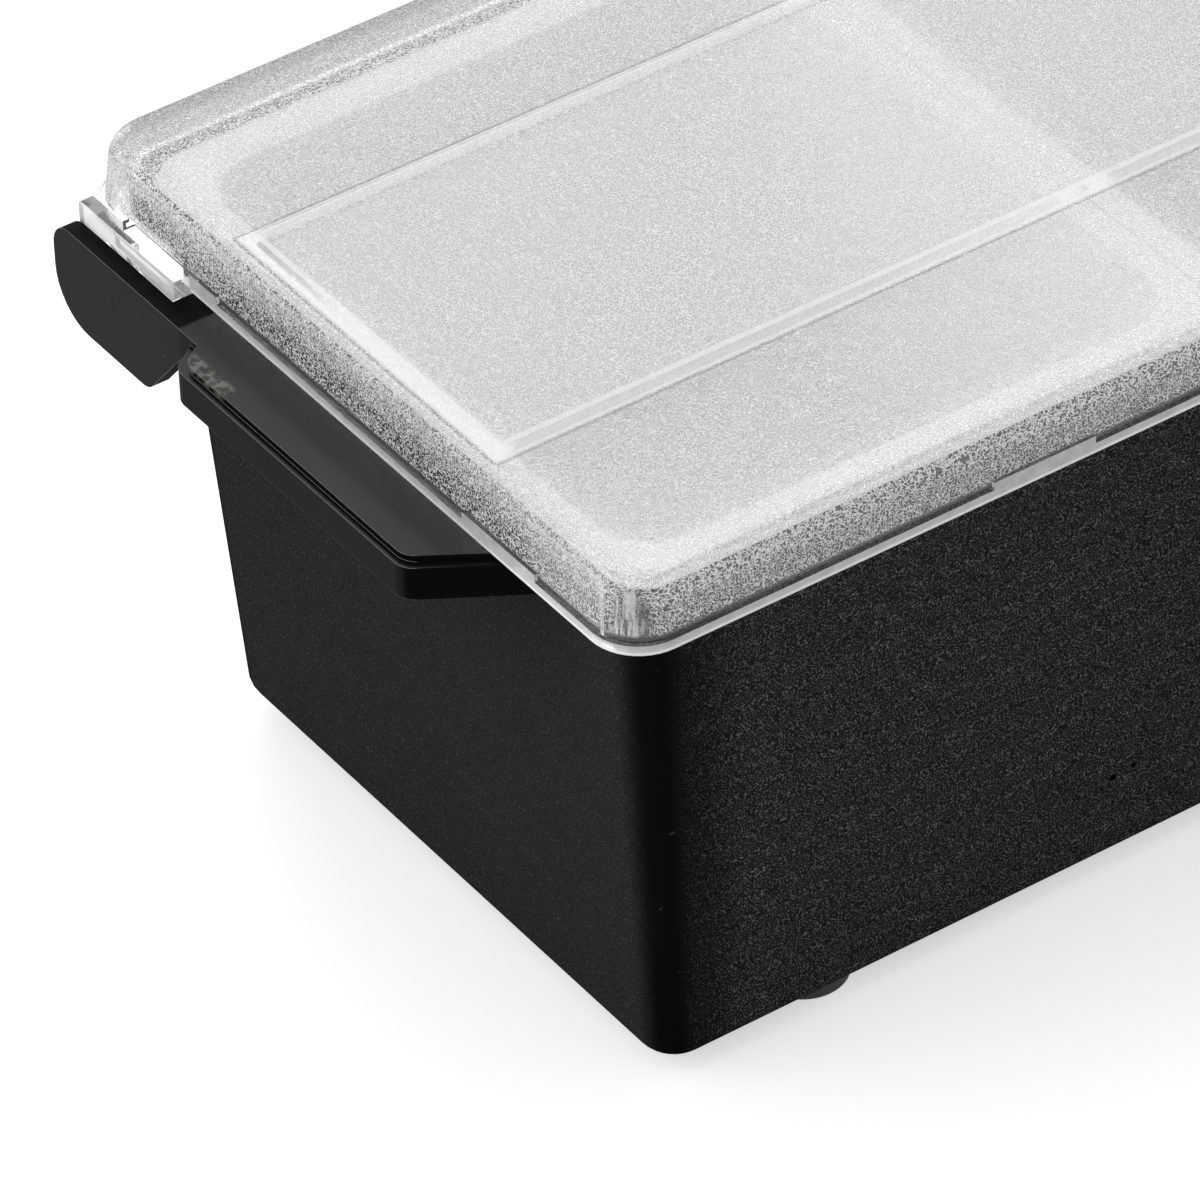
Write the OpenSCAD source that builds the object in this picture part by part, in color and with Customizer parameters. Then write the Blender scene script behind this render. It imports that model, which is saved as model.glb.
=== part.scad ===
// Bar garnish tray: a drafted tub on rubber feet, lift-out inserts in a row and a hinged clear lid.
// Frame: X along the row of inserts, Y towards the hinge, Z up. The origin is on the surface that
// the feet stand on, under the middle of the tray.

/* [Inserts] */
// Number of inserts in the row
insert_count = 4; // [4:1:4]
// Length of one insert over its rim, along the row
insert_l = 114.85; // [90:0.05:140]
// Width of one insert over its rim, from front to rear
insert_w = 137; // [115:0.5:170]
// Overall depth of an insert
insert_depth = 76; // [50:1:85]
// Thickness of the insert's rim
insert_rim_t = 1.8; // [1.2:0.1:3]
// Wall thickness of the insert
insert_wall = 1.6; // [1:0.1:2.5]
// Overhang of the rim past the body on the two sides that face the next inserts
insert_side_rim = 3.4; // [2.5:0.1:6]
// Overhang of the rim past the body at front and rear
insert_front_rim = 6.2; // [4.5:0.1:9]
// How far each wall of the insert leans in from top to bottom
insert_draft = 4.5; // [3.5:0.1:7]
// Corner radius of the insert's rim
insert_rim_r = 7; // [3:0.5:12]
// Corner radius of the insert's body
insert_body_r = 12; // [9:0.5:20]
// Radius of the insert's bottom edge
insert_fillet = 6; // [3:0.5:8]
// How much smaller the corner radii of tub and inserts are at the bottom than at the top
corner_taper = 2; // [0:0.5:2.5]

/* [Tub] */
// Height of the tub alone, from its underside to the top of its rim
tub_h = 104; // [95:1:130]
// Wall thickness of the tub
tub_wall = 2.5; // [1.5:0.1:4]
// Thickness of the tub's floor
tub_floor = 3; // [2:0.1:5]
// How far each wall of the tub leans in from top to bottom
tub_draft = 6.1; // [3:0.1:8]
// Corner radius of the tub's walls
tub_corner_r = 9; // [8:0.5:16]
// Radius of the tub's bottom edge
tub_fillet = 5; // [3:0.5:7]
// Width of the ledge that the inserts' rims rest on
ledge_w = 3.3; // [2.5:0.1:4]
// Width of the rim's upstand outside the inserts
rim_edge = 2.6; // [1.5:0.1:4]
// Height of the thickened rim
rim_h = 4.5; // [3.5:0.1:4.8]
// Corner radius of the rim
rim_r = 8; // [6:0.5:10]

/* [Lid] */
// Height of the lid from the lower edge of its skirt to its flat top
lid_h = 12.5; // [11:0.5:18]
// Wall thickness of the lid
lid_wall = 2.2; // [1.5:0.1:3]
// How far the lid's skirt laps down past the top of the tub's rim
lid_lap = 5; // [4.8:0.1:6]
// How far the skirt leans in from bottom to top
lid_draft = 0.6; // [0.3:0.1:1.4]
// Corner radius of the lid round its lip
lid_corner_r = 9; // [7.5:0.5:12]
// Corner radius of the lid's top
lid_top_r = 9.5; // [7.5:0.5:12]
// Radius of the shoulder between skirt and top
shoulder_r = 3.2; // [2.5:0.1:5]
// How far the lip along the lower edge stands out
lip_out = 0.5; // [0.3:0.1:0.8]
// Height of the lip
lip_h = 1.8; // [1:0.1:3]
// Width of the raised panel along the middle of the top
panel_w = 72; // [50:1:100]
// Rise of the raised panel
panel_rise = 1.5; // [0.8:0.1:3]
// Width of the panel's sloping border
panel_slope = 2.8; // [2:0.1:5]
// Distance of the raised panel's end from the end of the lid
panel_end = 4.5; // [4:0.5:12]
// Length of the finger pads on the lip
pad_l = 19.5; // [10:0.5:30]
// Height of the finger pads
pad_h = 3.2; // [2.5:0.1:5]
// Distance of each front pad from the nearer end of the lid
front_pad_x = 69; // [30:1:120]
// Distance of the end pads from the front of the lid
end_pad_y = 24; // [12:1:30]
// Length of the short tab on the lip in front of each hinge arm
tab_l = 7.5; // [4:0.5:12]
// How far the rear skirt stops short of the others, so that it swings clear of the tub
rear_skirt_cut = 4.5; // [4.5:0.1:6]

/* [Hinge] */
// Distance of the hinge axis from the rear edge of the lid
hinge_inset = 14.2; // [13.8:0.1:15]
// Drop of the hinge axis below the lower edge of the lid's skirt
hinge_drop = 3.9; // [3.7:0.1:4.5]
// Radius of the hinge pins
pin_r = 3.5; // [2.5:0.1:3.9]
// Length of pin inside the ear
pin_engage = 2; // [1.2:0.1:2.3]
// Radius of the boss that carries the pin
boss_r = 4.6; // [4:0.1:4.8]
// How far the lid's hinge arm stands out from the skirt
arm_out = 3; // [2.5:0.1:3.5]
// Height of the hinge arm above the skirt's lower edge
arm_top = 3.1; // [2:0.1:4]
// Reach of the hinge arm in front of the hinge axis
arm_front = 18.5; // [13:0.1:20]
// Reach of the hinge arm behind the hinge axis
arm_rear = 9.4; // [7:0.1:10]
// Thickness of the hinge arm
arm_t = 2.4; // [2:0.1:2.8]
// Height of the web that joins the hinge arm to the skirt
web_h = 4; // [3:0.5:4.5]
// Gap between the hinge arm and the ear
ear_gap = 0.5; // [0.4:0.1:1.5]
// Thickness of the ear
ear_t = 3.2; // [2.8:0.1:4]
// Height of the ear
ear_h = 18.4; // [16:0.1:24]
// Reach of the ear behind the hinge axis
ear_rear = 11.9; // [9:0.1:13]
// Reach of the ear's top edge in front of the hinge axis
ear_front = 30.4; // [27:0.1:34]
// Radius of the ear's lower rear corner
ear_r = 9; // [3:0.5:9]
// Radius of the ear's upper rear corner
ear_top_r = 5; // [2:0.5:8]
// Radius of the ear's lower front corner
ear_front_r = 4; // [2:0.5:8]
// How far the ear's front edge slopes back from top to bottom
ear_slope = 15.6; // [8:0.1:17]

/* [Handles] */
// Reach of each end handle from the tub's wall
handle_reach = 20; // [17:0.5:30]
// Length of the handle along its outer edge
handle_l = 61; // [56:1:70]
// Length of the handle where it meets the tub
handle_root_l = 90; // [84:1:96]
// How far the handle's middle lies in front of the tub's
handle_shift = 2; // [0:0.5:4]
// Height of the handle
handle_h = 7.3; // [6.5:0.1:12]
// Thickness of the handle's plate
handle_t = 2.5; // [2:0.1:3.5]
// Thickness of the handle's turned-down edge
handle_edge_t = 2.2; // [1.5:0.1:3]
// Width and depth of the step round the handle's top
handle_step = 1.2; // [0.6:0.1:1.6]
// Corner radius of the handle
handle_r = 4; // [2:0.5:8]

/* [Feet] */
// Radius of a rubber foot
foot_r = 7.75; // [5:0.25:10]
// How far the feet hold the tub off the table
foot_h = 3; // [2:0.5:6]
// Depth of the pocket in the tub that seats a foot
foot_seat = 1; // [0.5:0.1:1.5]
// Distance of a foot's centre from the end of the lid
foot_x = 49; // [40:1:80]
// Distance of a foot's centre from the front or rear edge of the lid
foot_y = 25; // [24:0.5:40]

/* [Clearances] */
// Play of an insert's rim inside the tub's rim, each side
insert_play = 0.3; // [0.2:0.1:0.6]
// Gap between neighbouring inserts
insert_gap = 0.4; // [0.3:0.1:1]
// Gap between the tub's rim and the lid's skirt
lid_clear = 1.9; // [1.2:0.1:2.4]
// Gap between the lid's lower edge and the handles under it
rest_gap = 0.3; // [0.2:0.1:0.5]
// Gap between the end of a hinge pin and the bottom of its socket
pin_end_gap = 0.3; // [0.2:0.1:0.5]
// Radial clearance of a hinge pin in its ear
pin_clear = 0.08; // [0.03:0.01:0.1]
// Gap between the lid's hinge arm and the plate in front of it
arm_clear = 0.3; // [0.2:0.1:0.6]
// Radial clearance of a foot in its pocket
foot_clear = 0.1; // [0.05:0.05:0.3]

/* [Hidden] */
$fn = 48;
hull_fn = 32;
thin = 0.01;
past = 1;

insert_pitch = insert_l + insert_gap;
recess_l = insert_count * insert_l + (insert_count - 1) * insert_gap + 2 * insert_play;
recess_w = insert_w + 2 * insert_play;
rim_l = recess_l + 2 * rim_edge;
rim_w = recess_w + 2 * rim_edge;
tub_l = recess_l - 2 * ledge_w + 2 * tub_wall;
tub_w = recess_w - 2 * ledge_w + 2 * tub_wall;
skirt_l = rim_l + 2 * (lid_clear + lid_wall);
skirt_w = rim_w + 2 * (lid_clear + lid_wall);
lid_l = skirt_l + 2 * lip_out;
lid_w = skirt_w + 2 * lip_out;

rim_z = foot_h + tub_h;
ledge_z = rim_z - insert_rim_t;
lid_z = rim_z - lid_lap;
handle_z = lid_z - rest_gap;
hinge_y = lid_w / 2 - hinge_inset;
hinge_z = lid_z - hinge_drop;
arm_x = lid_l / 2 + arm_out;
ear_x = arm_x + ear_gap;
strip_rear_y = hinge_y - arm_front - arm_clear;

function unit(v) = v / norm(v);
function turn(a, b) = let (d = b - a) d > 180 ? d - 360 : d < -180 ? d + 360 : d;

// Points of the arc that rounds the corner b between a and c
function corner_arc(a, b, c, r, steps = 8) =
    let (
        u = unit(a - b),
        v = unit(c - b),
        half = acos(u * v) / 2,
        centre = b + unit(u + v) * r / sin(half),
        start = b + u * r / tan(half) - centre,
        finish = b + v * r / tan(half) - centre,
        from = atan2(start.y, start.x),
        sweep = turn(from, atan2(finish.y, finish.x))
    )
    [for (i = [0:steps]) centre + r * [cos(from + sweep * i / steps), sin(from + sweep * i / steps)]];

// Outline through the given corners, each with its own radius
function rounded(points, radii) =
    let (n = len(points))
    [for (i = [0:n - 1]) each radii[i] > 0
        ? corner_arc(points[(i + n - 1) % n], points[i], points[(i + 1) % n], radii[i])
        : [points[i]]];

// Rounded rectangle made of true arcs
module rounded_rect(l, w, r) {
    square([l - 2 * r, w], center = true);
    square([l, w - 2 * r], center = true);
    for (x = [-1, 1], y = [-1, 1])
        translate([x * (l / 2 - r), y * (w / 2 - r)])
            circle(r);
}

// One corner of a rounded block: a disc of radius r whose lower edge has the radius fillet
module corner_disc(r, fillet) {
    rotate_extrude($fn = hull_fn) {
        square([r - fillet, thin]);
        intersection() {
            translate([r - fillet, fillet]) circle(fillet, $fn = hull_fn);
            square([r, fillet]);
        }
    }
}

// Block with drafted walls and a rounded bottom edge, standing on its bottom
module drafted_block(l, w, h, r, draft, fillet) {
    low_r = r - corner_taper;
    edge = min(fillet, low_r - thin);
    hull() {
        for (x = [-1, 1], y = [-1, 1]) {
            translate([x * (l / 2 - r), y * (w / 2 - r), h - thin])
                cylinder(r = r, h = thin, $fn = hull_fn);
            translate([x * (l / 2 - draft - low_r), y * (w / 2 - draft - low_r), 0])
                corner_disc(low_r, edge);
        }
    }
}

// Runs its child at both ends of the tray, built at the right-hand end
module both_ends() {
    children();
    mirror([1, 0, 0]) children();
}

// Extrudes an outline drawn in Y and Z along X, from x0 to x1
module side_plate(x0, x1) {
    translate([x0, 0, 0]) rotate([90, 0, 90]) linear_extrude(x1 - x0) children();
}

// Handle outline at the right-hand end, grown outwards by the given amount
module handle_outline(grow) {
    root_x = tub_l / 2 - tub_wall;
    end_x = tub_l / 2 + handle_reach - handle_step + grow;
    corners = [[root_x, -handle_root_l / 2 - grow], [end_x, -handle_l / 2 - grow],
               [end_x, handle_l / 2 + grow], [root_x, handle_root_l / 2 + grow]];
    translate([0, -handle_shift]) polygon(rounded(corners, [0, handle_r, handle_r, 0]));
}

// Grip under each end of the tub: a stepped plate with a turned-down edge, open below
module handle() {
    translate([0, 0, handle_z - handle_t])
        linear_extrude(handle_t) handle_outline(0);
    difference() {
        translate([0, 0, handle_z - handle_h])
            linear_extrude(handle_h - handle_step) handle_outline(handle_step);
        translate([0, 0, handle_z - handle_h - past])
            linear_extrude(handle_h - handle_t + past) handle_outline(handle_step - handle_edge_t);
    }
}

// Plate that carries the ear behind the handle
module ear_strip() {
    root_x = tub_l / 2 - tub_wall;
    translate([root_x, 0, handle_z - handle_t])
        cube([ear_x + ear_t - root_x, strip_rear_y, handle_t]);
}

// Hinge ear with a blind socket for the lid's pin
module ear() {
    corners = [[-ear_front, 0], [ear_rear, 0], [ear_rear, -ear_h], [ear_slope - ear_front, -ear_h]];
    difference() {
        side_plate(ear_x, ear_x + ear_t)
            translate([hinge_y, handle_z])
                polygon(rounded(corners, [0, ear_top_r, ear_r, ear_front_r]));
        translate([ear_x - past, hinge_y, hinge_z])
            rotate([0, 90, 0]) cylinder(r = pin_r + pin_clear, h = past + pin_engage + pin_end_gap);
    }
}

module base_tub() {
    color([0.05, 0.05, 0.055]) difference() {
        union() {
            translate([0, 0, foot_h])
                drafted_block(tub_l, tub_w, tub_h, tub_corner_r, tub_draft, tub_fillet);
            translate([0, 0, rim_z - rim_h])
                linear_extrude(rim_h) rounded_rect(rim_l, rim_w, rim_r);
            both_ends() {
                handle();
                ear_strip();
                ear();
            }
        }
        translate([0, 0, foot_h + tub_floor])
            drafted_block(tub_l - 2 * tub_wall, tub_w - 2 * tub_wall, tub_h - tub_floor + thin,
                          tub_corner_r - tub_wall, tub_draft, tub_fillet - tub_wall / 2);
        translate([0, 0, ledge_z])
            linear_extrude(insert_rim_t + past)
                rounded_rect(recess_l, recess_w, insert_rim_r + insert_play);
        for (x = [-1, 1], y = [-1, 1])
            translate([x * (lid_l / 2 - foot_x), y * (lid_w / 2 - foot_y), foot_h - past])
                cylinder(r = foot_r + foot_clear, h = foot_seat + past);
    }
}

// Skin of the lid, drawn with its open side down; inset shrinks it evenly for the hollow inside
module lid_block(inset) {
    r_low = lid_corner_r - lip_out - inset;
    r_top = lid_top_r - inset;
    edge = shoulder_r - inset;
    top = lid_h - inset;
    low_l = skirt_l - 2 * inset;
    low_w = skirt_w - 2 * inset;
    hull() {
        for (x = [-1, 1], y = [-1, 1]) {
            translate([x * (low_l / 2 - r_low), y * (low_w / 2 - r_low), 0])
                cylinder(r = r_low, h = thin, $fn = hull_fn);
            translate([x * (low_l / 2 - lid_draft - r_top), y * (low_w / 2 - lid_draft - r_top), top])
                mirror([0, 0, 1]) corner_disc(r_top, edge);
        }
    }
}

// Raised panel along the middle of the top; inset shrinks it evenly for the hollow below it
module lid_panel(inset) {
    l = lid_l - 2 * panel_end - 2 * inset;
    w = panel_w - 2 * inset;
    hull() {
        translate([-l / 2, -w / 2, lid_h - inset - past])
            cube([l, w, past]);
        translate([panel_slope - l / 2, panel_slope - w / 2, lid_h + panel_rise - inset - thin])
            cube([l - 2 * panel_slope, w - 2 * panel_slope, thin]);
    }
}

// Band of the given height along the foot of the skirt
module lip_band(h) {
    linear_extrude(h) difference() {
        rounded_rect(lid_l, lid_w, lid_corner_r);
        rounded_rect(skirt_l - lid_wall, skirt_w - lid_wall, lid_corner_r - lid_wall);
    }
}

// Arm of the lid that carries a hinge pin, with a notch in front of the pin's boss and a web
// that joins the arm to the skirt
module hinge_arm() {
    notch = boss_r + arm_clear;
    outline = [[-arm_front, hinge_drop + arm_top], [arm_rear, hinge_drop + arm_top],
               [arm_rear, -boss_r], [0, -boss_r], [-boss_r, 0], [-boss_r, hinge_drop],
               [-notch - boss_r, hinge_drop - 2 * lip_out], [-arm_front, hinge_drop - 2 * lip_out]];
    side_plate(arm_x - arm_t, arm_x)
        translate([hinge_y, hinge_z])
            polygon(rounded(outline, [0, 1, boss_r, 2, 2, 0, 2, 1]));
    translate([skirt_l / 2 - lid_wall / 2, hinge_y - arm_front, lid_z + arm_top - web_h])
        cube([arm_x - arm_t / 2 - skirt_l / 2 + lid_wall / 2, arm_front, web_h]);
    translate([arm_x - past, hinge_y, hinge_z])
        rotate([0, 90, 0]) cylinder(r = pin_r, h = ear_gap + pin_engage + past);
}

module lid() {
    rear_cut_l = lid_l - 2 * lid_corner_r;
    color([0.85, 0.87, 0.88, 0.4]) translate([0, 0, lid_z]) difference() {
        union() {
            lid_block(0);
            lid_panel(0);
            lip_band(lip_h);
            intersection() {
                lip_band(pad_h);
                union() {
                    for (x = [-1, 1])
                        translate([x * (lid_l / 2 - front_pad_x) - (x + 1) / 2 * pad_l, -lid_w / 2, 0])
                            cube([pad_l, lid_corner_r, pad_h]);
                    translate([-lid_l / 2, end_pad_y - lid_w / 2, 0])
                        cube([lid_l, pad_l, pad_h]);
                    translate([-lid_l / 2, hinge_y - arm_front - tab_l, 0])
                        cube([lid_l, tab_l + past, pad_h]);
                }
            }
        }
        translate([0, 0, -thin]) lid_block(lid_wall);
        lid_panel(lid_wall);
        translate([-rear_cut_l / 2, lid_w / 2 - lid_corner_r, -past])
            cube([rear_cut_l, lid_corner_r + past, rear_skirt_cut + past]);
    }
    color([0.85, 0.87, 0.88, 0.4]) both_ends() hinge_arm();
}

module insert(place) {
    body_l = insert_l - 2 * insert_side_rim;
    body_w = insert_w - 2 * insert_front_rim;
    x = (place - (insert_count + 1) / 2) * insert_pitch;
    color([0.93, 0.93, 0.92]) translate([x, 0, rim_z - insert_depth]) difference() {
        union() {
            drafted_block(body_l, body_w, insert_depth, insert_body_r, insert_draft, insert_fillet);
            translate([0, 0, insert_depth - insert_rim_t])
                linear_extrude(insert_rim_t) rounded_rect(insert_l, insert_w, insert_rim_r);
        }
        translate([0, 0, insert_wall])
            drafted_block(body_l - 2 * insert_wall, body_w - 2 * insert_wall,
                          insert_depth - insert_wall + thin, insert_body_r - insert_wall,
                          insert_draft, insert_fillet - insert_wall);
    }
}

// Rubber foot in its pocket; x and y are -1 or 1 for the side it stands on
module foot(x, y) {
    edge = foot_h / 3;
    color([0.03, 0.03, 0.03])
        translate([x * (lid_l / 2 - foot_x), y * (lid_w / 2 - foot_y), 0])
            rotate_extrude() {
                square([foot_r - edge, foot_h + foot_seat]);
                translate([0, edge]) square([foot_r, foot_h + foot_seat - edge]);
                intersection() {
                    translate([foot_r - edge, edge]) circle(edge);
                    square([foot_r, edge]);
                }
            }
}

base_tub();
lid();
insert(1);  // insert_1
insert(2);  // insert_2
insert(3);  // insert_3
insert(4);  // insert_4
foot(-1, -1);  // foot_front_left
foot(1, -1);  // foot_front_right
foot(-1, 1);  // foot_rear_left
foot(1, 1);  // foot_rear_right
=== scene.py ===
from math import cos, radians, sin

import bmesh
import bpy
from mathutils import Matrix, Vector


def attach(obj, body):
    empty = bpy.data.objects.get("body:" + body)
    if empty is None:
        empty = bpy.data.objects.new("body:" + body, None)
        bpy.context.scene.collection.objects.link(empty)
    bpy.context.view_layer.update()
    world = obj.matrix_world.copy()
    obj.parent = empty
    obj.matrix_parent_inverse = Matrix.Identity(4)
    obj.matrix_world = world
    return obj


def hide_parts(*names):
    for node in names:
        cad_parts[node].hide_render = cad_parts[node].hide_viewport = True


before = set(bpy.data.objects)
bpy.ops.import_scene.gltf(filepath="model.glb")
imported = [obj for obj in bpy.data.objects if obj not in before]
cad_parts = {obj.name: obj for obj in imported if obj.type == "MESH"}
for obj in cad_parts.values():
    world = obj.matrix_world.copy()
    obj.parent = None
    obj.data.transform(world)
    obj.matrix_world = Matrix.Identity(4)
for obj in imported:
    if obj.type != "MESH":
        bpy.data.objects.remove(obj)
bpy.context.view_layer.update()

# The camera stands well back on a long lens, so that the tray keeps nearly parallel edges.
# It looks down on the front left corner, as in the photograph, with a slight roll of the frame.
CAMERA_PLACE = Vector((-0.87049, -1.01649, 1.02152))
AZIMUTH, ELEVATION, ROLL = radians(-33.753), radians(38.625), radians(2.111)
FOCAL_PIXELS, FRAME_PIXELS, SENSOR = 9736.1, 1200, 36.0

back = Vector((sin(AZIMUTH) * cos(ELEVATION), -cos(AZIMUTH) * cos(ELEVATION), sin(ELEVATION)))
level = back.cross(Vector((0, 0, 1))).normalized() * -1
rise = back.cross(level)
right = level * cos(ROLL) - rise * sin(ROLL)
up = level * sin(ROLL) + rise * cos(ROLL)
camera = bpy.data.objects.new("camera", bpy.data.cameras.new("camera"))
bpy.context.scene.collection.objects.link(camera)
camera.matrix_world = Matrix.Translation(CAMERA_PLACE) @ Matrix((right, up, back)).transposed().to_4x4()
camera.data.sensor_width = SENSOR
camera.data.lens = FOCAL_PIXELS / FRAME_PIXELS * SENSOR
camera.data.clip_start, camera.data.clip_end = 0.1, 50
bpy.context.scene.camera = camera
bpy.context.scene.view_settings.view_transform = "Standard"


# The tray stands on a wide pale floor in a plain white studio. Camera, gloss and clear plastic see
# the floor and the world as white, and the floor keeps the tray's soft shadow.
FLOOR_SIZE = 8.0
FLOOR_GREY = (0.86, 0.86, 0.86)
FLOOR_LIFT = (0.52, 0.52, 0.52)
WORLD_LIGHT = 0.62


class Wire:
    """A socket in a finish that is being written; sums on it add the Math nodes they need."""

    def __init__(self, finish, socket):
        self.finish, self.socket = finish, socket

    def math(self, operation, *values):
        return self.finish.node("Math", {"operation": operation}, dict(enumerate(values)))

    def __add__(self, other): return self.math("ADD", self, other)
    def __radd__(self, other): return self.math("ADD", other, self)
    def __sub__(self, other): return self.math("SUBTRACT", self, other)
    def __rsub__(self, other): return self.math("SUBTRACT", other, self)
    def __mul__(self, other): return self.math("MULTIPLY", self, other)
    def __rmul__(self, other): return self.math("MULTIPLY", other, self)
    def __truediv__(self, other): return self.math("DIVIDE", self, other)
    def __pow__(self, other): return self.math("POWER", self, other)
    def __abs__(self): return self.math("ABSOLUTE", self)
    def least(self, other): return self.math("MINIMUM", self, other)
    def most(self, other): return self.math("MAXIMUM", self, other)

    def step(self, low, high):
        """0 below low and 1 above high, or the other way round where low is the larger."""
        flipped = low > high
        settings = {"interpolation_type": "SMOOTHSTEP"}
        ends = {1: min(low, high), 2: max(low, high), 3: float(flipped), 4: float(not flipped)}
        return self.finish.node("MapRange", settings, {0: self, **ends})

    def band(self, low, high, soft):
        """1 between low and high, fading out over soft."""
        return self.step(low - soft, low) * self.step(high + soft, high)


class Finish:
    """A material or the world while its nodes are being written."""

    def __init__(self, owner):
        owner.use_nodes = True
        self.owner, self.tree = owner, owner.node_tree
        self.tree.nodes.clear()

    def node(self, kind, settings=None, values=None, out=0):
        made = self.tree.nodes.new("ShaderNode" + kind)
        for name, value in (settings or {}).items():
            if name == "stops":
                ramp = made.color_ramp
                while len(ramp.elements) < len(value):
                    ramp.elements.new(1.0)
                for element, (place, colour) in zip(ramp.elements, value):
                    element.position, element.color = place, (*colour, 1)
            else:
                setattr(made, name, value)
        for name, value in (values or {}).items():
            socket = made.inputs[name]
            if isinstance(value, Wire):
                self.tree.links.new(value.socket, socket)
            elif isinstance(value, tuple) and len(value) == 3 and socket.type == "RGBA":
                socket.default_value = (*value, 1)
            else:
                socket.default_value = value
        return Wire(self, made.outputs[out])

    def mix(self, share, first, second):
        """Colour between first and second."""
        return self.node("Mix", {"data_type": "RGBA"}, {0: share, 6: first, 7: second}, out=2)

    def place(self):
        """Where a point of the surface is, in metres, as a vector and as X, Y and Z."""
        spot = self.node("TexCoord", out=3)
        x, y, z = (self.node("SeparateXYZ", values={0: spot}, out=i) for i in range(3))
        return spot, x, y, z

    def surface(self, shader):
        end = self.node_end()
        self.tree.links.new(shader.socket, end.inputs[0])
        return self.owner

    def node_end(self):
        kind = "World" if isinstance(self.owner, bpy.types.World) else "Material"
        return self.tree.nodes.new("ShaderNodeOutput" + kind)


def seen_as_background(finish):
    """1 for the rays that show the background: the camera's own, reflected and transmitted ones."""
    camera_ray, glossy, through = (finish.node("LightPath", out=i) for i in (0, 3, 6))
    return camera_ray.most(glossy).most(through)


white_floor = Finish(bpy.data.materials.new("white_floor"))
lift = white_floor.mix(seen_as_background(white_floor), (0.0, 0.0, 0.0), FLOOR_LIFT)
matt_white = white_floor.node("BsdfPrincipled", values={
    "Base Color": FLOOR_GREY, "Roughness": 0.9, "Specular IOR Level": 0.1,
    "Emission Color": lift, "Emission Strength": 1.0})
floor_mesh = bpy.data.meshes.new("floor")
half = FLOOR_SIZE / 2
floor_mesh.from_pydata([(-half, -half, 0), (half, -half, 0), (half, half, 0), (-half, half, 0)], [], [(0, 1, 2, 3)])
floor_mesh.materials.append(white_floor.surface(matt_white))
floor = bpy.data.objects.new("floor", floor_mesh)
bpy.context.scene.collection.objects.link(floor)

studio = Finish(bpy.data.worlds.new("studio"))
strength = WORLD_LIGHT + seen_as_background(studio) * (1 - WORLD_LIGHT)
studio.surface(studio.node("Background", values={"Color": (1, 1, 1), "Strength": strength}))
bpy.context.scene.world = studio.owner

for name, place, size, watts in (
        ("window_light", (1.2, 1.6, 1.7), 2.8, 33),
        ("side_light", (-2.0, 0.7, 1.0), 2.0, 17)):
    lamp = bpy.data.lights.new(name, "AREA")
    lamp.shape, lamp.size, lamp.energy = "SQUARE", size, watts
    stand = bpy.data.objects.new(name, lamp)
    bpy.context.scene.collection.objects.link(stand)
    stand.location = place
    stand.rotation_mode = "QUATERNION"
    stand.rotation_quaternion = (Vector(place) - Vector((0, 0, 0.08))).to_track_quat("Z", "Y")


# The base tub is one black injection moulding: drafted walls with a fine leather grain, and satin
# handles and hinge ears at both ends. All its outer edges are slightly rounded by the mould.
EDGE_ROUND, SOFT_ROUND, SHARP = 0.0005, 0.0011, radians(40)
GRAIN_SCALE = 3600
DUST, SCUFFED = (0.09, 0.09, 0.088), (0.16, 0.15, 0.135)
HANDLE_FROM, HANDLE_REAR = 0.2306, 0.036
BLACK = (0.0035, 0.0035, 0.0037)
BLACK_WORN = (0.0062, 0.0062, 0.0064)
# Painted sheen: a light grey on the grain's crowns stands in for the walls' reflection of the studio.
PAINTED_GRAIN_SHEEN = (0.17, 0.171, 0.174)
# Painted highlight for the rounded edges of the handles and ears.
PAINTED_EDGE_HIGHLIGHT = (0.28, 0.28, 0.285)


def round_edges(mesh, offset, segments, chosen):
    """Rounds the sharp edges of a mesh that the test picks out."""
    crisp = [e for e in mesh.edges if len(e.link_faces) == 2 and e.calc_face_angle() > SHARP and chosen(e)]
    bmesh.ops.bevel(mesh, geom=crisp, offset=offset, segments=segments, profile=0.5, affect="EDGES",
                    clamp_overlap=True, loop_slide=True)


def moulded(name, node, body, material, edge=EDGE_ROUND, soft=None):
    """A copy of a CAD node with welded, rounded edges and smooth curved faces, standing for it."""
    mesh = bmesh.new()
    mesh.from_mesh(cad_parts[node].data)
    bmesh.ops.remove_doubles(mesh, verts=mesh.verts, dist=2e-6)
    bmesh.ops.dissolve_limit(mesh, angle_limit=radians(0.4), verts=mesh.verts, edges=mesh.edges)
    if soft:
        round_edges(mesh, SOFT_ROUND, 3, soft)
    if edge:
        round_edges(mesh, edge, 2, lambda e: True)
    data = bpy.data.meshes.new(name)
    mesh.to_mesh(data)
    mesh.free()
    data.shade_smooth()
    data.set_sharp_from_angle(angle=radians(32))
    data.materials.append(material)
    piece = bpy.data.objects.new(name, data)
    bpy.context.scene.collection.objects.link(piece)
    evened = piece.modifiers.new("evened", "WEIGHTED_NORMAL")
    evened.keep_sharp, evened.weight = True, 80
    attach(piece, body)
    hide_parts(node)
    return piece


def dent(across, upward, middle, height, radius):
    """1 inside a small round dent on a wall, fading at its edge."""
    return ((across - middle) ** 2 + (upward - height) ** 2).step(radius ** 2, radius ** 2 * 0.3)


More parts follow.
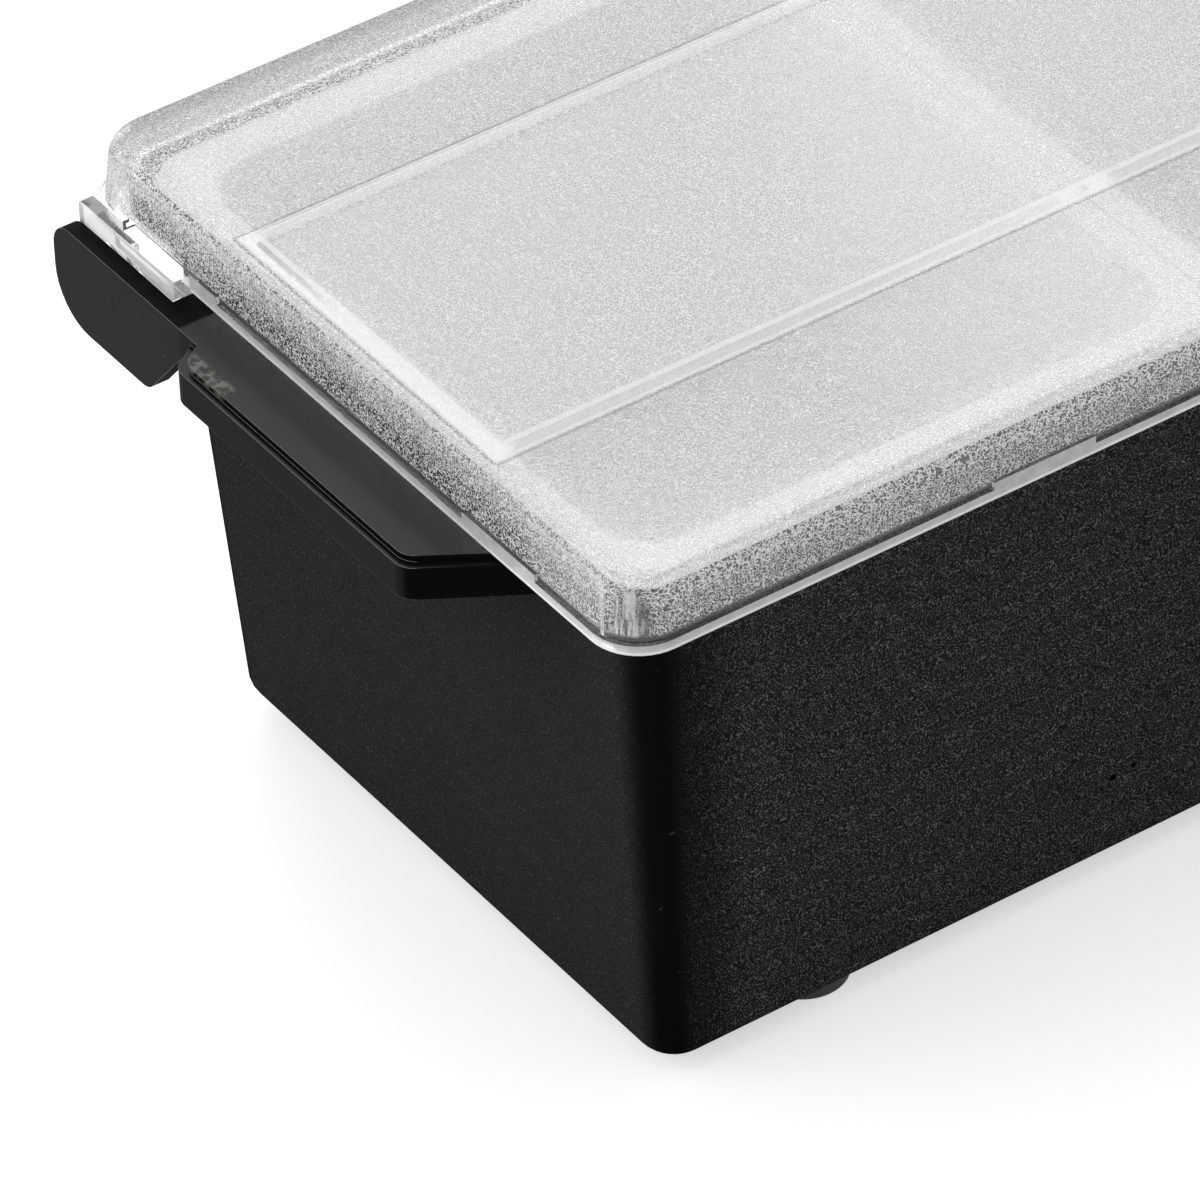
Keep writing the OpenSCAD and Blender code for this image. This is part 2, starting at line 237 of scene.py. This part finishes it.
def grained_black(name):
    finish = Finish(bpy.data.materials.new(name))
    spot, x, y, z = finish.place()
    smooth = abs(x).step(HANDLE_FROM - 0.0004, HANDLE_FROM)
    handle = smooth * y.step(HANDLE_REAR + 0.001, HANDLE_REAR)
    fine = finish.node("TexNoise", values={"Vector": spot, "Scale": GRAIN_SCALE, "Detail": 1.5})
    broad = finish.node("TexNoise", values={"Vector": spot, "Scale": 28.0, "Detail": 3.0})
    facing = finish.node("NewGeometry", out=1)
    end_on, side_on, upward = (abs(finish.node("SeparateXYZ", values={0: facing}, out=i)) for i in range(3))
    from_end = abs(x) + (0.104 - z) * 0.04
    # Painted shade: the sheen fades to dark around each vertical corner and recovers over the first few millimetres of
    # the long walls.
    painted_corner_shade = side_on.step(0.62, 0.0) + end_on.step(0.5, 0.0) * (0.32 + from_end.step(0.2215, 0.2085) * 0.68)
    crowns = fine.step(0.5, 0.72)
    dust = finish.node("TexNoise", values={"Vector": spot, "Scale": 620.0, "Detail": 1.0}).step(0.74, 0.82)
    rubbed = finish.node("TexNoise", values={"Vector": spot, "Scale": 620.0, "Detail": 3.0}).step(0.38, 0.62)
    scuff = x.step(-0.2455, -0.2466) * y.band(0.019, 0.0285, 0.002) * z.step(0.1005, 0.1012) * rubbed
    hairline = y.band(0.0562, 0.0566, 0.00015) * z.band(0.093, 0.0965, 0.0003) * smooth
    shaded_pits = (dent(x, z, -0.1354, 0.0212, 0.0008) + dent(x, z, -0.1313, 0.0218, 0.0006)) * y.step(-0.06, -0.061)
    relief = finish.node("Bump", values={
        "Strength": 0.6, "Distance": 0.00025, "Height": crowns * (1 - smooth) + fine * smooth * 0.05 - shaded_pits * 2 - hairline * 3})
    dull = finish.mix(broad, BLACK, BLACK_WORN)
    # Painted sheen on the crowns, stronger on the long walls than on the end walls, and darkened at the corners.
    painted_wall_sheen = (crowns * (1.15 - end_on * 0.88) + 0.05 + end_on * 0.05) * painted_corner_shade.least(1)
    tone = finish.mix(painted_wall_sheen * (1 - smooth), dull, PAINTED_GRAIN_SHEEN)
    # Painted highlight on the rounded top edges of handles and ears; the same mask also raises the coat.
    glint = upward.band(0.3, 0.8, 0.12) * end_on.step(0.3, 0.6) * smooth
    tone = finish.mix(glint, tone, PAINTED_EDGE_HIGHLIGHT)
    tone = finish.mix(dust * 0.35, tone, DUST)
    tone = finish.mix(scuff * 0.8, tone, SCUFFED)
    # Painted shade: the small dents are painted black inside; the hairline is a dark mould mark.
    tone = finish.mix((hairline + shaded_pits).least(1), tone, (0.0, 0.0, 0.0))
    rough = 0.52 + broad * 0.12 - handle * 0.2 + scuff * 0.2
    end_face = end_on.step(0.8, 0.98)
    crown = upward.step(0.5, 0.95) * (1 - abs(x).step(0.236, 0.2455) * 0.6)
    coat = handle * (crown * (0.82 + broad * 0.36) + end_face * 0.12) + (smooth - handle) * (
        0.06 + end_face * 0.11) + glint * 0.6
    return finish.surface(finish.node("BsdfPrincipled", values={
        "Base Color": tone, "Roughness": rough, "Specular IOR Level": 0.0,
        "Coat Weight": coat, "Coat Roughness": 0.22, "Normal": relief}))


black_moulding = grained_black("grained_black_plastic")
moulded("tub_moulding", "base_tub", "tub", black_moulding,
        soft=lambda e: all(abs(v.co.x) > HANDLE_FROM + 0.002 for v in e.verts))


# Four round rubber feet sit in shallow pockets under the tub. They are soft black rubber with a
# dull, slightly dusty skin.
rubber = Finish(bpy.data.materials.new("foot_rubber"))
rubber_spot = rubber.node("TexCoord", out=3)
dust = rubber.node("TexNoise", values={"Vector": rubber_spot, "Scale": 260.0, "Detail": 4.0})
rubber_skin = rubber.node("Bump", values={"Strength": 0.3, "Distance": 0.0002, "Height": dust})
rubber_material = rubber.surface(rubber.node("BsdfPrincipled", values={
    "Base Color": rubber.mix(dust, (0.008, 0.008, 0.008), (0.022, 0.021, 0.02)),
    "Roughness": 0.55 + dust * 0.2, "Normal": rubber_skin}))
for side in ("front_left", "front_right", "rear_left", "rear_right"):
    moulded("rubber_foot_" + side, "foot_" + side, "tub", rubber_material, edge=0)


# Four white food inserts hang by their rims on the tub's ledge. They are thin satin mouldings with
# a faint waviness, and turn a soft patchy grey towards the bottom.
WHITE = (0.915, 0.918, 0.93)
pan = Finish(bpy.data.materials.new("insert_white_plastic"))
pan_spot, pan_x, pan_y, pan_z = pan.place()
wave = pan.node("TexNoise", values={"Vector": pan_spot, "Scale": 40.0, "Detail": 2.0})
sheen = pan.node("TexNoise", values={"Vector": pan_spot, "Scale": 700.0, "Detail": 2.0})
# Greyer towards the bottom of the pan, in soft patches.
greyer_low = pan_z.step(0.045, 0.032) * wave
pan_skin = pan.node("Bump", values={"Strength": 0.25, "Distance": 0.0002, "Height": wave + sheen * 0.15})
pan_material = pan.surface(pan.node("BsdfPrincipled", values={
    "Base Color": pan.mix(greyer_low * 0.5, WHITE, (0.82, 0.82, 0.81)),
    "Roughness": 0.34 + sheen * 0.12, "Normal": pan_skin}))
for number in range(1, 5):
    moulded(f"insert_pan_{number}", f"insert_{number}", f"insert_{number}", pan_material, edge=0.0004)


# The lid is one clear moulding. A fine worm-like stipple on the outside of its top and skirt turns
# white where it catches light; the panel's slopes, the lip, the finger pads and the hinge arms are
# smooth. The lid swings on two pins moulded on its arms.
STIPPLE_SCALE = 1850
SHADE_LET_THROUGH = 1.0
# Painted shade: a grey tint for the dark line along the panel's foot and for the gaps between the stipple worms.
LID_PAINTED_SHADE = (0.42, 0.4, 0.37)
LID_FOOT, STIPPLE_FROM, FLAT_TOP, PANEL_TOP = 0.102, 0.1045, 0.1145, 0.116
LIP_X, LIP_Y, LIP_CORNER = 0.2378, 0.076, 0.009
PANEL_X, PANEL_Y = 0.2333, 0.036
CORE_X, CORE_Y, CORE_Z = 0.2335, 0.0717, 0.1113


def past_outline(x, y, half_x, half_y, corner):
    """How far a point lies outside a rounded rectangle, negative inside it."""
    past_x, past_y = (abs(x) - (half_x - corner)).most(0), (abs(y) - (half_y - corner)).most(0)
    return (past_x ** 2 + past_y ** 2) ** 0.5 - corner


def mark_outside(piece):
    """Writes on each face whether it is on the outside of the lid, away from the food."""
    outside = piece.data.attributes.new("outside", "FLOAT", "FACE")
    for face in piece.data.polygons:
        x, y, z = face.center
        core = Vector((max(-CORE_X, min(CORE_X, x)), max(-CORE_Y, min(CORE_Y, y)), min(z, CORE_Z)))
        outside.data[face.index].value = float(face.normal.dot(face.center - core) > 0)


lid = Finish(bpy.data.materials.new("stippled_clear_plastic"))
spot, x, y, z = lid.place()
outside = lid.node("Attribute", {"attribute_name": "outside"}, out=2)
arm = abs(x).step(0.2381, 0.2383)
lip = past_outline(x, y, LIP_X, LIP_Y, LIP_CORNER).step(-0.0004, -0.0002) * (1 - arm)
slope = z.band(FLAT_TOP + 0.00015, PANEL_TOP - 0.0001, 0.0001)
stippled = outside * z.step(STIPPLE_FROM, STIPPLE_FROM + 0.0008) * (1 - lip) * (1 - arm) * (1 - slope * 0.9)
curl = lid.node("TexNoise", values={"Vector": spot, "Scale": STIPPLE_SCALE, "Detail": 1.0, "Roughness": 0.4})
patch = lid.node("TexNoise", values={"Vector": spot, "Scale": 160.0, "Detail": 2.0})
drawn = lid.node("VectorMath", {"operation": "MULTIPLY"}, {0: spot, 1: (1.0, 1.0, 0.07)})
drawn = lid.node("TexNoise", values={"Vector": drawn, "Scale": 1100.0, "Detail": 2.0}).step(0.42, 0.62)
corner = abs(x).step(0.2308, 0.2325) * abs(y).step(0.069, 0.0707)
worms = abs(curl - 0.5).step(0.105, 0.0) * (1 - corner * 0.75) + drawn * corner * 0.6
streak = lid.node("TexNoise", values={"Vector": spot, "Scale": 420.0, "Detail": 3.0})
# Painted highlight: a white line along the lip's bottom edge.
edge = z.step(LID_FOOT + 0.0007, LID_FOOT + 0.0004)
lip_share = lip * (0.42 + streak * 0.36 + edge * 0.4)
# Painted shade in the gaps between the stipple worms.
shaded_pits = abs(curl - 0.5).step(0.1, 0.2) * stippled
flank = z.step(0.1128, 0.1116)
# Painted highlights: smooth white lines along the panel's crest and foot.
crest = z.band(PANEL_TOP - 0.0004, PANEL_TOP - 0.00005, 0.0001)
foot = z.band(FLAT_TOP + 0.0001, FLAT_TOP + 0.0003, 0.0001)
# The rear strip and its outer shoulder carry painted shade, standing in for the dark tub seen through them; there the
# white stipple is also thinned.
rear = y.step(0.0668, 0.0682)
shoulder = rear * y.step(0.0714, 0.0724) * (1 - arm)
crest_haze = y.band(0.0314, 0.0332, 0.0006) * abs(x).step(0.2312, 0.2304) * outside
# Painted shade: a dark line along the panel's foot on the flat top, with less white stipple there.
painted_crease_shade = past_outline(x, y, PANEL_X, PANEL_Y, 0.0002).band(0.0001, 0.0005, 0.0002) * z.step(FLAT_TOP - 0.0003, FLAT_TOP)
# The frosted white share also holds the painted highlight lines on the crest, foot and lip edge, and is thinned on the
# shaded rear strip.
white_share = stippled * (1 - painted_crease_shade * 0.7) * (worms * (0.86 + flank * 0.1 - rear * 0.36 - shoulder * 0.2) + patch * 0.06) + outside * (
    slope * 0.26 + crest * 0.55 + foot * 0.45 + lip_share + arm * 0.62 + crest_haze * 0.34)
bumps = lid.node("Bump", values={"Strength": 0.6, "Distance": 0.0003, "Height": worms * stippled})
sight = 1 - lid.node("LightPath", out=1) * SHADE_LET_THROUGH
# Base Color holds the painted shade: tints for the panel's foot, the worm gaps, the rear strip and the shoulder.
clear = lid.node("BsdfPrincipled", values={
    "Base Color": lid.mix((rear * 0.28 + shoulder * (0.66 + shaded_pits * 0.3)).least(1) * outside, lid.mix((painted_crease_shade * 0.8 + shaded_pits * 0.4).least(1), (0.995, 0.998, 1.0), LID_PAINTED_SHADE), (0.08, 0.08, 0.085)),
    "Roughness": 0.05 + stippled * 0.07 + arm * 0.08, "IOR": 1.49,
    "Transmission Weight": 1.0, "Alpha": sight, "Normal": bumps})
frosted = lid.node("BsdfPrincipled", values={
    "Base Color": (0.95, 0.943, 0.95), "Roughness": 0.45, "IOR": 1.49,
    "Transmission Weight": 0.2, "Alpha": sight, "Normal": bumps})
lid_material = lid.surface(lid.node("MixShader", values={0: white_share, 1: clear, 2: frosted}))
lid_moulding = moulded("lid_moulding", "lid", "lid", lid_material, edge=0.0004)
mark_outside(lid_moulding)
